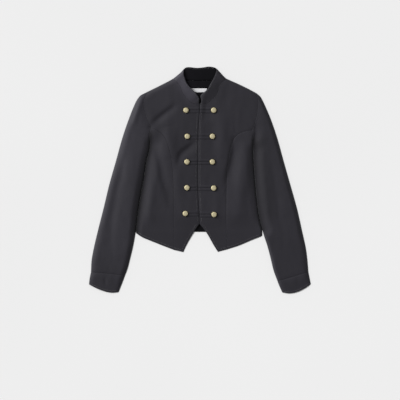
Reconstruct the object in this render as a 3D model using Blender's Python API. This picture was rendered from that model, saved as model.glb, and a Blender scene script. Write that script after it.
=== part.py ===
"""Button front jacket with a stand collar, laid flat on its back.

The jacket is drawn in plan, in millimetres: x runs across it, y from hem to collar, and z up from the
surface it lies on. The back, under sleeves and under cuffs lie on that surface. The fronts, upper sleeves
and upper cuffs lie over them and roll down to the surface along the folded edges of the jacket.
"""

import math

import bmesh
import bpy
import numpy as np
from mathutils import Vector
from mathutils.geometry import delaunay_2d_cdt

MM = 0.001

# Cloth thickness and the gaps between pieces
WALL = 2.2
FACING_WALL = 1.2
LABEL_WALL = 0.8
LOOP_WALL = 1.6
SEAM_GAP = 0.3
CREASE_GAP = 0.6
LAYER_GAP = 0.4

# Heights of the upper layer: inside the jacket, along a folded edge and where a front point touches down
LOFT = 8.0
EDGE_HEIGHT = 2.7
POINT_HEIGHT = 2.4
DROOP_LENGTH = 34.0
ROLL_POWER = 2.2
SEAM_DEPTH = 0.7
SEAM_WIDTH = 6.0
TUCK = 4.2

# Mesh spacing along outlines, inside panels and in the rings along folded edges
OUTLINE_STEP = 18.0
FINE_STEPS = {"neck_seam": 12.0, "collar_edge": 9.0, "collar_back_top": 12.0, "collar_fold": 12.0}
LATTICE_STEP = 22.0
COARSE_STEP = 30.0
ROLL_RINGS = (3.8, 9.0)
ROLL_MARGIN = 0.9

# Buttons and the cloth loops that hold them
BUTTON_RADIUS = 9.3
BUTTON_HEIGHT = 4.0
BUTTON_SIDES = 16
SHANK_RADIUS = 2.0
LOOP_HALF_HEIGHT = 8.7
LOOP_SLIT = 0.5
LOOP_EYE_RADIUS = 3.0
CENTRE_FRONT_X = -4.0

CLOTH_COLOUR = (0.030, 0.029, 0.034)
INSIDE_COLOUR = (0.012, 0.011, 0.014)
BRASS_COLOUR = (0.42, 0.35, 0.20)
LABEL_COLOUR = (0.80, 0.80, 0.82)

# Plan curves, as (x, y) from the jacket's centre. Side by side curves are given for left and right.
CURVES = {
    "centre_front": [(-4, 234), (-4, 80), (-4, -61), (-2, -136)],
    "back_neck": [(-77, 318), (-38, 310), (0, 309), (40, 310), (80, 316)],
    "collar_back_top": [(-48, 347), (-30, 349), (-11, 347), (7, 349), (26, 351), (40, 350), (50, 347)],
    "back_hem": [(-199, -157), (-100, -160), (0, -160), (100, -160), (193, -153)],
    "neck_seam_left": [(-4, 234), (-24, 239), (-39, 252), (-52, 267), (-58, 289), (-77, 318)],
    "neck_seam_right": [(-4, 234), (23, 239), (40, 252), (54, 269), (60, 291), (80, 316)],
    "shoulder_left": [(-77, 318), (-91, 309), (-116, 297), (-142, 284), (-165, 272)],
    "shoulder_right": [(80, 316), (93, 309), (119, 297), (145, 284), (174, 269)],
    "armhole_left": [(-165, 272), (-173, 249), (-174, 221), (-164, 190), (-153, 165)],
    "armhole_right": [(174, 269), (179, 243), (177, 205), (169, 174), (162, 156)],
    "underarm_left": [(-153, 165), (-154, 154), (-157, 143)],
    "underarm_right": [(162, 156), (160, 141), (159, 125)],
    "crease_left": [(-157, 143), (-160, 94), (-171, 32), (-180, -30), (-189, -92), (-199, -157)],
    "crease_right": [(159, 125), (159, 88), (166, 32), (174, -30), (181, -92), (193, -153)],
    "side_tail_left": [(-199, -157), (-199, -164)],
    "side_tail_right": [(193, -153), (193, -172)],
    "princess_left": [(-153, 165), (-131, 154), (-110, 134), (-97, 100), (-85, 26), (-82, -61), (-82, -216)],
    "princess_right": [(162, 156), (133, 150), (111, 137), (97, 106), (85, 38), (82, -30), (82, -215)],
    "hem_left": [(-199, -164), (-179, -177), (-160, -185), (-123, -200), (-82, -216)],
    "hem_right": [(193, -172), (156, -187), (119, -203), (82, -215)],
    "hem_point_left": [(-82, -216), (-52, -223)],
    "hem_point_right": [(82, -215), (55, -222)],
    "cutaway_left": [(-52, -223), (-2, -136)],
    "cutaway_right": [(55, -222), (-2, -136)],
    "sleeve_outer_left": [
        (-165, 272), (-180, 264), (-195, 247), (-205, 229), (-220, 191), (-239, 136), (-260, 61),
        (-281, -13), (-299, -88), (-317, -159), (-330, -215), (-336, -270), (-338, -285),
    ],
    "sleeve_outer_right": [
        (174, 269), (186, 259), (194, 247), (203, 229), (219, 191), (238, 136), (259, 61),
        (280, -13), (301, -88), (317, -159), (329, -215), (335, -270), (336, -284),
    ],
    "sleeve_inner_left": [(-199, -157), (-202, -172), (-208, -205), (-217, -243), (-227, -280), (-233, -295)],
    "sleeve_inner_right": [(193, -153), (197, -168), (209, -205), (219, -243), (228, -280), (240, -313)],
    "cuff_seam_left": [(-338, -285), (-295, -288), (-233, -295)],
    "cuff_seam_right": [(336, -284), (294, -297), (240, -313)],
    "cuff_outer_left": [(-338, -285), (-342, -305), (-343.5, -323)],
    "cuff_outer_right": [(336, -284), (340, -304), (343.5, -322)],
    "cuff_inner_left": [(-233, -295), (-243, -322), (-253, -347)],
    "cuff_inner_right": [(240, -313), (246, -328), (255, -348)],
    "cuff_hem_left": [(-343.5, -323), (-326, -333), (-307, -341), (-278, -348), (-253, -347)],
    "cuff_hem_right": [(343.5, -322), (326, -336), (305, -346), (279, -351), (255, -348)],
    "collar_fold_left": [(-77, 318), (-48, 347)],
    "collar_fold_right": [(80, 316), (50, 347)],
    "collar_edge_left": [(-48, 347), (-41, 311), (-28, 286), (-15, 275), (-6, 263), (-2.5, 252), (-4, 234)],
    "collar_edge_right": [(50, 347), (37, 311), (24, 286), (14, 274), (6, 263), (1.5, 252), (-4, 234)],
}

# Folded edges. Columns: curve, roll width at its start and end, share of its length where the roll fades in
FOLDED_EDGES = [
    ("shoulder", 12, 12, 0.0),
    ("sleeve_outer", 12, 22, 0.0),
    ("crease", 16, 18, 0.3),
    ("side_tail", 18, 18, 0.0),
    ("sleeve_inner", 18, 18, 0.0),
    ("cuff_outer", 18, 16, 0.0),
    ("cuff_inner", 18, 16, 0.0),
    ("collar_fold", 9, 9, 0.0),
]

# Sewn edges that dip a little into the cloth
SEAMS = ["armhole", "underarm", "princess", "cuff_seam", "neck_seam"]

# Large folds. Columns: path, height (negative for a trough), half width
FOLDS = [
    ([(-151, 174), (-118, 200), (-80, 230)], -1.8, 13),
    ([(-146, 142), (-122, 138), (-100, 134)], 2.0, 20),
    ([(-146, 118), (-136, 32), (-122, 0), (-106, -96)], -2.0, 16),
    ([(-60, 100), (-86, 78), (-86, 14)], -1.8, 14),
    ([(-112, 60), (-104, -20), (-110, -150)], 1.2, 16),
    ([(101, 104), (92, 50), (83, 4)], -2.4, 14),
    ([(132, 70), (136, -20), (128, -140)], 1.8, 22),
    ([(150, -80), (160, -120), (166, -150)], -1.4, 14),
    ([(-190, 200), (-214, 110), (-246, 0)], 1.0, 18),
    ([(-196, 60), (-224, -60), (-250, -180)], -1.4, 18),
    ([(192, 170), (196, 110), (204, 60)], -1.6, 16),
    ([(226, 130), (262, 0), (290, -110)], 0.9, 18),
    ([(250, -150), (268, -220), (282, -270)], -1.2, 16),
]

# Button centres, as rows from collar to hem. Columns: left x, left y, right x, right y
BUTTON_ROWS = [
    (-44, 217, 42, 217),
    (-40, 136, 38, 136),
    (-41, 57, 38, 57),
    (-41, -23, 42, -24),
    (-46, -103, 43, -106),
]

# Neck facing and blank label, as closed outlines on the back panel
FACING_OUTLINE = [
    (-56, 311), (-28, 308), (0, 307), (30, 308), (58, 311), (55, 290), (30, 287), (0, 287), (-28, 287), (-53, 290),
]
LABEL_OUTLINE = [(-30, 286), (23, 286), (20, 272), (-30, 272)]


def smooth_curve(points, step, ends=()):
    """Even samples of a smooth curve through the points, with extra ones at set distances from both ends.

    Two points give a straight line.
    """
    knots = np.array(points, float)
    if len(knots) > 2:
        lengths = np.linalg.norm(np.diff(knots, axis=0), axis=1)
        at = np.concatenate([[0], np.cumsum(lengths)])
        slopes = np.gradient(knots, at, axis=0)
        fine = np.linspace(0, at[-1], 40 * len(knots))
        i = np.clip(np.searchsorted(at, fine, side="right") - 1, 0, len(lengths) - 1)
        span = lengths[i][:, None]
        t = (fine - at[i])[:, None] / span
        knots = (
            (2 * t**3 - 3 * t**2 + 1) * knots[i]
            + (t**3 - 2 * t**2 + t) * span * slopes[i]
            + (3 * t**2 - 2 * t**3) * knots[i + 1]
            + (t**3 - t**2) * span * slopes[i + 1]
        )
    along = np.concatenate([[0], np.cumsum(np.linalg.norm(np.diff(knots, axis=0), axis=1))])
    count = max(2, round(along[-1] / step) + 1)
    even = np.linspace(0, along[-1], count)
    if ends and along[-1] > 2.5 * max(ends):
        middle = even[(even > 1.5 * max(ends)) & (even < along[-1] - 1.5 * max(ends))]
        even = np.sort(np.concatenate([[0, along[-1]], ends, along[-1] - np.array(ends), middle]))
    return np.column_stack([np.interp(even, along, knots[:, k]) for k in range(2)])


def distance_to(points, path):
    """Distance from each point to a path, and the share of the path's length at the nearest place."""
    start, run = path[:-1], np.diff(path, axis=0)
    lengths = np.maximum(np.linalg.norm(run, axis=1), 1e-9)
    before = np.concatenate([[0], np.cumsum(lengths)])
    offset = points[:, None, :] - start[None]
    t = np.clip((offset * run[None]).sum(2) / (lengths**2)[None], 0, 1)
    gap = np.linalg.norm(offset - t[..., None] * run[None], axis=2)
    nearest = gap.argmin(1)
    rows = np.arange(len(points))
    share = (before[nearest] + t[rows, nearest] * lengths[nearest]) / before[-1]
    return gap[rows, nearest], share


def ease(x):
    """A smooth step from 0 to 1."""
    x = np.clip(x, 0, 1)
    return x * x * (3 - 2 * x)


FORM_STEP = 6.0
FOLD_PATHS = [
    (smooth_curve(CURVES[f"{name}_{side}"], FORM_STEP), start, end, fade)
    for name, start, end, fade in FOLDED_EDGES
    for side in ("left", "right")
]
SEAM_PATHS = [smooth_curve(CURVES[f"{name}_{side}"], FORM_STEP) for name in SEAMS for side in ("left", "right")]
CREASE_PATHS = [(smooth_curve(path, FORM_STEP), height, width) for path, height, width in FOLDS]
BACK_HEM_PATH = smooth_curve(CURVES["back_hem"], FORM_STEP)


def fold_distance(points):
    """Distance from each point to the nearest folded edge."""
    return np.min([distance_to(points, path)[0] for path, *_ in FOLD_PATHS], axis=0)


def past_back_hem(points):
    """How far each point lies below the hem of the back, in y."""
    return np.interp(points[:, 0], BACK_HEM_PATH[:, 0], BACK_HEM_PATH[:, 1]) - points[:, 1]


def top_height(points):
    """Height of the upper layer's outside: its loft, rolled edges, seams, droop over the back hem and folds."""
    rolled = np.ones(len(points))
    for path, start, end, fade in FOLD_PATHS:
        gap, share = distance_to(points, path)
        width = start + (end - start) * ease(share * 4)
        strength = ease(share / fade) if fade else 1.0
        rolled = np.minimum(rolled, 1 - strength * np.clip(1 - gap / width, 0, 1) ** ROLL_POWER)
    droop = ease(past_back_hem(points) / DROOP_LENGTH) * (np.abs(points[:, 0]) < 200)
    flat = EDGE_HEIGHT + (LOFT - EDGE_HEIGHT) * rolled
    height = flat + (POINT_HEIGHT - flat) * droop
    for path in SEAM_PATHS:
        gap, _ = distance_to(points, path)
        height -= SEAM_DEPTH * np.exp(-((gap / SEAM_WIDTH) ** 2)) * rolled * (1 - droop)
    for path, rise, width in CREASE_PATHS:
        gap, share = distance_to(points, path)
        taper = np.sin(math.pi * np.clip(share, 0.02, 0.98)) ** 0.6
        height += rise * taper * np.exp(-((gap / width) ** 2)) * rolled**2 * (1 - droop)
    return height


def wall_depth(points):
    """Upright depth of a wall whose thickness is measured square to its slope."""
    small = 0.5
    east = top_height(points + [small, 0]) - top_height(points - [small, 0])
    north = top_height(points + [0, small]) - top_height(points - [0, small])
    return WALL * np.sqrt(1 + (east**2 + north**2) / (2 * small) ** 2)


def upper_inside(points):
    """Height of the upper layer's inside: a wall below its outside, and clear of the layer under it."""
    sleeve = np.abs(points[:, 0]) > 200
    over = (fold_distance(points) > TUCK - ROLL_MARGIN) & ((past_back_hem(points) < LAYER_GAP) | sleeve)
    clear = np.where(over, WALL + LAYER_GAP, 0.0)
    return np.maximum(top_height(points) - wall_depth(points), clear)


def neck_inside(points):
    """Inside of the collar's front halves, clear of the facing and label below them."""
    clear = np.where(fold_distance(points) > 14, WALL + SEAM_GAP + FACING_WALL + LAYER_GAP, 0.0)
    return np.maximum(upper_inside(points), clear)


def level(height):
    """A flat surface at one height."""
    return lambda points: np.full(len(points), float(height))


def edge(name, inset, back=False, lower=False):
    """One side of an outline: samples of a named curve, and how far the cloth stays inside it."""
    family = name.removesuffix("_left").removesuffix("_right")
    step = FINE_STEPS.get(family, COARSE_STEP if lower else OUTLINE_STEP)
    points = smooth_curve(CURVES[name], step, () if lower else ROLL_RINGS)
    return (points[::-1] if back else points), inset


def lower_edge(name, inset, back=False):
    """One side of an outline in the lower layer, which is flat and needs fewer points."""
    return edge(name, inset, back, lower=True)


def closed_outline(sides):
    """Join sides end to end and draw each in by its own inset, square to it."""
    points, insets = [], []
    for samples, inset in sides:
        points.extend(samples[:-1])
        insets.extend([inset] * (len(samples) - 1))
    points, insets = np.array(points), np.array(insets, float)
    run = np.roll(points, -1, axis=0) - points
    if (points[:, 0] * np.roll(points[:, 1], -1) - points[:, 1] * np.roll(points[:, 0], -1)).sum() < 0:
        points = points[::-1]
        insets = np.roll(insets[::-1], -1)
        run = np.roll(points, -1, axis=0) - points
    return points, insets, inward_normals(run)


def inward_normals(run):
    """Unit normals on the left of each step of an outline that runs anticlockwise."""
    normals = np.column_stack([-run[:, 1], run[:, 0]])
    return normals / np.linalg.norm(normals, axis=1, keepdims=True)


def draw_in(points, insets, normals):
    """Move each outline point inwards so that the steps beside it go in by their insets."""
    moved = points.copy()
    for i in range(len(points)):
        before, after = normals[i - 1], normals[i]
        cross = before[0] * after[1] - before[1] * after[0]
        if abs(cross) < 0.05:
            moved[i] += (before + after) / 2 * (insets[i - 1] + insets[i]) / 2
            continue
        solution = np.linalg.solve(np.array([before, after]), [insets[i - 1], insets[i]])
        reach = np.linalg.norm(solution)
        limit = 2.5 * max(insets[i - 1], insets[i], 1e-6)
        moved[i] += solution * min(1, limit / max(reach, 1e-9))
    return moved


def inside(points, outline):
    """Which points lie inside a closed outline."""
    hit = np.zeros(len(points), bool)
    for a, b in zip(outline, np.roll(outline, -1, axis=0)):
        crosses = (a[1] > points[:, 1]) != (b[1] > points[:, 1])
        rise = b[1] - a[1] if b[1] != a[1] else 1e-12
        hit ^= crosses & (points[:, 0] < (b[0] - a[0]) * (points[:, 1] - a[1]) / rise + a[0])
    return hit


def inner_points(outline, step, rings):
    """Points inside an outline: rings along folded edges, then an even lattice."""
    closed = np.vstack([outline, outline[:1]])
    chosen = np.zeros((0, 2))
    if rings:
        steps = np.roll(outline, -1, axis=0) - outline
        normals = inward_normals(steps)
        for ring in rings:
            shifted = draw_in(outline, np.full(len(outline), ring), normals)
            gap = distance_to(shifted, closed)[0]
            keep = (fold_distance(shifted) < ring + 1.2) & inside(shifted, outline) & (gap > 0.85 * ring)
            chosen = spaced(chosen, shifted[keep], 0.6 * ring)
    low, high = outline.min(0), outline.max(0)
    across = np.arange(low[0], high[0], step)
    lattice = [
        (x + (row % 2) * step / 2, y)
        for row, y in enumerate(np.arange(low[1], high[1], step * math.sqrt(3) / 2))
        for x in across
    ]
    lattice = np.array(lattice)
    lattice = lattice[inside(lattice, outline)]
    lattice = lattice[distance_to(lattice, closed)[0] > 0.5 * step]
    return spaced(chosen, lattice, 0.5 * step)


def spaced(kept, candidates, gap):
    """Add the candidates that are at least a gap from every point kept so far."""
    kept = list(map(tuple, kept))
    for x, y in candidates:
        if all((x - a) ** 2 + (y - b) ** 2 > gap * gap for a, b in kept):
            kept.append((x, y))
    return np.array(kept).reshape(-1, 2)


def cloth_material(name, colour, roughness, metallic=0.0):
    """A Principled material with one colour."""
    material = bpy.data.materials.new(name)
    material.use_nodes = True
    shader = material.node_tree.nodes["Principled BSDF"]
    shader.inputs["Base Color"].default_value = (*colour, 1.0)
    shader.inputs["Roughness"].default_value = roughness
    shader.inputs["Metallic"].default_value = metallic
    return material


def cloth_wall(name, outline, top, bottom, material, step=LATTICE_STEP, rings=ROLL_RINGS):
    """A closed wall over an outline, between two height functions of the plan."""
    plan = np.vstack([outline, inner_points(outline, step, rings)])
    coords, _, triangles, *_ = delaunay_2d_cdt(
        [Vector(p) for p in plan], [], [list(range(len(outline)))], 1, 1e-4
    )
    coords = np.array([tuple(c) for c in coords])
    mesh = bmesh.new()
    upper = [mesh.verts.new((x * MM, y * MM, z * MM)) for (x, y), z in zip(coords, top(coords))]
    faces = [mesh.faces.new([upper[i] for i in face]) for face in triangles]
    low = dict(zip([tuple(np.round(c, 4)) for c in coords], bottom(coords)))
    grown = bmesh.ops.extrude_face_region(mesh, geom=faces)["geom"]
    for vertex in grown:
        if isinstance(vertex, bmesh.types.BMVert):
            key = min(low, key=lambda c: (c[0] - vertex.co.x / MM) ** 2 + (c[1] - vertex.co.y / MM) ** 2)
            vertex.co.z = low[key] * MM
    bmesh.ops.recalc_face_normals(mesh, faces=mesh.faces)
    return finished(name, mesh, material)


def finished(name, mesh, material):
    """Turn a bmesh into a named object in the jacket's collection."""
    data = bpy.data.meshes.new(name)
    mesh.to_mesh(data)
    mesh.free()
    data.materials.append(material)
    part = bpy.data.objects.new(name, data)
    collection.objects.link(part)
    return part


def upper_panel(name, sides, material, bottom=upper_inside):
    """A panel of the upper layer."""
    outline = draw_in(*closed_outline(sides))
    return cloth_wall(name, outline, top_height, bottom, material)


def lower_panel(name, sides, material):
    """A flat panel of the layer that rests on the surface."""
    outline = draw_in(*closed_outline(sides))
    return cloth_wall(name, outline, level(WALL), level(0), material, step=4 * COARSE_STEP, rings=None)


def make_fronts(material):
    """Two fronts, each cut in a centre and a side panel that meet along the princess seam."""
    seam, crease = SEAM_GAP / 2, CREASE_GAP / 2
    for side in ("left", "right"):
        upper_panel(f"front_centre_{side}", [
            edge(f"neck_seam_{side}", seam),
            edge(f"shoulder_{side}", 0),
            edge(f"armhole_{side}", seam),
            edge(f"princess_{side}", seam),
            edge(f"hem_point_{side}", 0),
            edge(f"cutaway_{side}", seam),
            edge("centre_front", seam, back=True),
        ], material)
        upper_panel(f"front_side_{side}", [
            edge(f"underarm_{side}", seam),
            edge(f"crease_{side}", crease),
            edge(f"side_tail_{side}", crease),
            edge(f"hem_{side}", 0),
            edge(f"princess_{side}", seam, back=True),
        ], material)


def make_back(material):
    """The back in one panel, tucked in from the folded shoulders and sides."""
    seam = SEAM_GAP / 2
    lower_panel("back", [
        lower_edge("shoulder_left", TUCK),
        lower_edge("armhole_left", seam),
        lower_edge("underarm_left", seam),
        lower_edge("crease_left", TUCK),
        lower_edge("back_hem", 0),
        lower_edge("crease_right", TUCK, back=True),
        lower_edge("underarm_right", seam, back=True),
        lower_edge("armhole_right", seam, back=True),
        lower_edge("shoulder_right", TUCK, back=True),
        lower_edge("back_neck", seam, back=True),
    ], material)


def make_sleeves(material):
    """Two-piece sleeves: the upper rolls over both edges of the under sleeve."""
    seam, crease = SEAM_GAP / 2, CREASE_GAP / 2
    for side in ("left", "right"):
        upper_panel(f"sleeve_upper_{side}", [
            edge(f"sleeve_outer_{side}", 0),
            edge(f"cuff_seam_{side}", seam),
            edge(f"sleeve_inner_{side}", crease, back=True),
            edge(f"crease_{side}", crease, back=True),
            edge(f"underarm_{side}", seam, back=True),
            edge(f"armhole_{side}", seam, back=True),
        ], material)
        lower_panel(f"sleeve_under_{side}", [
            lower_edge(f"sleeve_outer_{side}", TUCK),
            lower_edge(f"cuff_seam_{side}", seam),
            lower_edge(f"sleeve_inner_{side}", TUCK, back=True),
            lower_edge(f"crease_{side}", TUCK, back=True),
            lower_edge(f"underarm_{side}", seam, back=True),
            lower_edge(f"armhole_{side}", seam, back=True),
        ], material)


def make_cuffs(material):
    """Plain cuffs, cut in an upper and an under piece as the sleeves are."""
    seam = SEAM_GAP / 2
    for side in ("left", "right"):
        for layer, build, along, tuck in (
            ("upper", upper_panel, edge, 0),
            ("under", lower_panel, lower_edge, TUCK),
        ):
            build(f"cuff_{layer}_{side}", [
                along(f"cuff_outer_{side}", tuck),
                along(f"cuff_hem_{side}", 0),
                along(f"cuff_inner_{side}", tuck, back=True),
                along(f"cuff_seam_{side}", seam, back=True),
            ], material)


def make_collar(material):
    """A stand collar folded flat at the neck points: its back lies open, its front halves lie on top."""
    seam = SEAM_GAP / 2
    lower_panel("collar_back", [
        lower_edge("back_neck", seam),
        lower_edge("collar_fold_right", TUCK),
        lower_edge("collar_back_top", 0, back=True),
        lower_edge("collar_fold_left", TUCK, back=True),
    ], material)
    for side in ("left", "right"):
        upper_panel(f"collar_front_{side}", [
            edge(f"neck_seam_{side}", seam),
            edge(f"collar_fold_{side}", 0),
            edge(f"collar_edge_{side}", SEAM_GAP),
        ], material, bottom=neck_inside)


def make_neck_pieces(facing_material, label_material):
    """The facing strip and the blank label that show inside the neck."""
    on_back = WALL + SEAM_GAP
    for name, outline, thickness, material in (
        ("back_neck_facing", FACING_OUTLINE, FACING_WALL, facing_material),
        ("neck_label", LABEL_OUTLINE, LABEL_WALL, label_material),
    ):
        sides = [(np.array([a, b], float), 0) for a, b in zip(outline, outline[1:] + outline[:1])]
        ring = draw_in(*closed_outline(sides))
        cloth_wall(name, ring, level(on_back + thickness), level(on_back), material, step=COARSE_STEP, rings=None)


def loop_outline(button_x, button_y, sense):
    """Plan of a button loop: two legs from the front edge, joined by a round end with an eye for the shank.

    sense is 1 where the legs run towards +x from the front edge and -1 where they run towards -x.
    """
    start = CENTRE_FRONT_X + sense * SEAM_GAP / 2
    turn = [math.radians(a) for a in np.linspace(-90, 90, 9)]
    outer = [(sense * LOOP_HALF_HEIGHT * math.cos(a), LOOP_HALF_HEIGHT * math.sin(a)) for a in turn]
    opening = math.asin(LOOP_SLIT / LOOP_EYE_RADIUS)
    bend = np.linspace(math.pi - opening, -math.pi + opening, 9)
    eye = [(sense * LOOP_EYE_RADIUS * math.cos(a), LOOP_EYE_RADIUS * math.sin(a)) for a in bend]
    around = [(start - button_x, -LOOP_HALF_HEIGHT), *outer, (start - button_x, LOOP_HALF_HEIGHT)]
    inner = [(start - button_x, LOOP_SLIT), *eye, (start - button_x, -LOOP_SLIT)]
    return np.array([(button_x + x, button_y + y) for x, y in around + inner])


def make_loop(name, button_x, button_y, sense, material):
    """A cloth loop that lies on the front from its edge to the button."""
    outline = loop_outline(button_x, button_y, sense)
    sides = [(np.array([a, b]), 0) for a, b in zip(outline, np.roll(outline, -1, axis=0))]
    ring, _, _ = closed_outline(sides)
    seat = LOFT + SEAM_GAP
    cloth_wall(name, ring, level(seat + LOOP_WALL), level(seat), material, step=200.0, rings=None)


def make_button(name, button_x, button_y, material):
    """A domed metal button with a raised rim, on a shank that stands in the loop's eye."""
    seat = LOFT + SEAM_GAP
    back = seat + LOOP_WALL + SEAM_GAP
    crown = back + BUTTON_HEIGHT
    rim = BUTTON_RADIUS
    profile = [
        (0, crown), (0.4 * rim, crown - 0.3), (0.72 * rim, crown - 1.3), (0.84 * rim, crown - 2.2),
        (0.92 * rim, crown - 1.9), (rim, crown - 2.5), (0.97 * rim, back + 0.3), (0.86 * rim, back),
        (SHANK_RADIUS, back), (SHANK_RADIUS, seat), (0, seat),
    ]
    mesh = bmesh.new()
    verts = [mesh.verts.new((r * MM, 0, z * MM)) for r, z in profile]
    edges = [mesh.edges.new(pair) for pair in zip(verts, verts[1:])]
    bmesh.ops.spin(
        mesh, geom=verts + edges, cent=(0, 0, 0), axis=(0, 0, 1), dvec=(0, 0, 0),
        angle=math.tau, steps=BUTTON_SIDES, use_merge=True, use_duplicate=False,
    )
    bmesh.ops.remove_doubles(mesh, verts=mesh.verts, dist=0.00001)
    bmesh.ops.recalc_face_normals(mesh, faces=mesh.faces)
    button = finished(name, mesh, material)
    button.location = (button_x * MM, button_y * MM, 0)
    button.data.shade_smooth()
    button.data.set_sharp_from_angle(angle=math.radians(40))
    return button


def make_closures(cloth, brass):
    """Five rows of buttons, each with its loop from the front edge."""
    for number, (left_x, left_y, right_x, right_y) in enumerate(BUTTON_ROWS, start=1):
        for side, x, y, sense in (("left", left_x, left_y, -1), ("right", right_x, right_y, 1)):
            make_loop(f"loop_{side}_{number}", x, y, sense, cloth)
            make_button(f"button_{side}_{number}", x, y, brass)


for old in list(bpy.data.objects):
    bpy.data.objects.remove(old)
collection = bpy.data.collections.new("button_front_jacket")
bpy.context.scene.collection.children.link(collection)

shell = cloth_material("charcoal_cloth", CLOTH_COLOUR, 0.75)
lining = cloth_material("dark_facing_cloth", INSIDE_COLOUR, 0.8)
tape = cloth_material("label_tape", LABEL_COLOUR, 0.7)
brass = cloth_material("antique_brass", BRASS_COLOUR, 0.4, metallic=1.0)

make_back(shell)
make_fronts(shell)
make_sleeves(shell)
make_cuffs(shell)
make_collar(shell)
make_neck_pieces(lining, tape)
make_closures(shell, brass)
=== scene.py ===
# %% [markdown]
# # A button front jacket, laid flat
#
# This lesson dresses a plain, rigid jacket with real cloth. The jacket lies on its back on a pale surface and
# the camera looks straight down. Its back, under sleeves and under cuffs rest on the surface. Its fronts,
# upper sleeves and upper cuffs lie over them and roll down to the surface along the folded edges.
#
# Plan sizes are in millimetres: x runs across the jacket, y from hem to collar, z up from the surface.

# %% Load the frame
import math

import bpy
import numpy as np
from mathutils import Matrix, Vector, noise
from mathutils.geometry import delaunay_2d_cdt


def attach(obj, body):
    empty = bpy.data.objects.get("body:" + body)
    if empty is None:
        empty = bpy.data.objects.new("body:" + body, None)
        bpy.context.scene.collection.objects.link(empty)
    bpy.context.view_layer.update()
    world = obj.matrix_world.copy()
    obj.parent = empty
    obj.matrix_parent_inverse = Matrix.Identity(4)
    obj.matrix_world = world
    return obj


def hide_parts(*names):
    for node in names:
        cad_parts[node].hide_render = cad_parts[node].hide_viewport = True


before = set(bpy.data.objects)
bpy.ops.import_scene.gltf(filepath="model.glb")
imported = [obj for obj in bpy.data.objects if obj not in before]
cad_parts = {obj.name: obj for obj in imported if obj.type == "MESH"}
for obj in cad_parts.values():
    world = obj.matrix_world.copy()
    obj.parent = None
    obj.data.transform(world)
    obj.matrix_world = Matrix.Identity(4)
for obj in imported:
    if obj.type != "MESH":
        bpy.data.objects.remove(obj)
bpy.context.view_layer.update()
MM = 0.001
SIDES = ("left", "right")
print("nodes in the frame:", len(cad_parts))


def nothing_selected():
    """Deselect everything, so that the next operator acts on the new piece alone."""
    bpy.ops.object.select_all(action="DESELECT")


# %% [markdown]
# ## The pattern
#
# A tailor starts from a paper pattern. Each line of it is a curve with a name, and two pieces that are sewn
# together share one curve. Only the points that the shape needs are written down, and a smooth curve is run
# through them.

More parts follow.
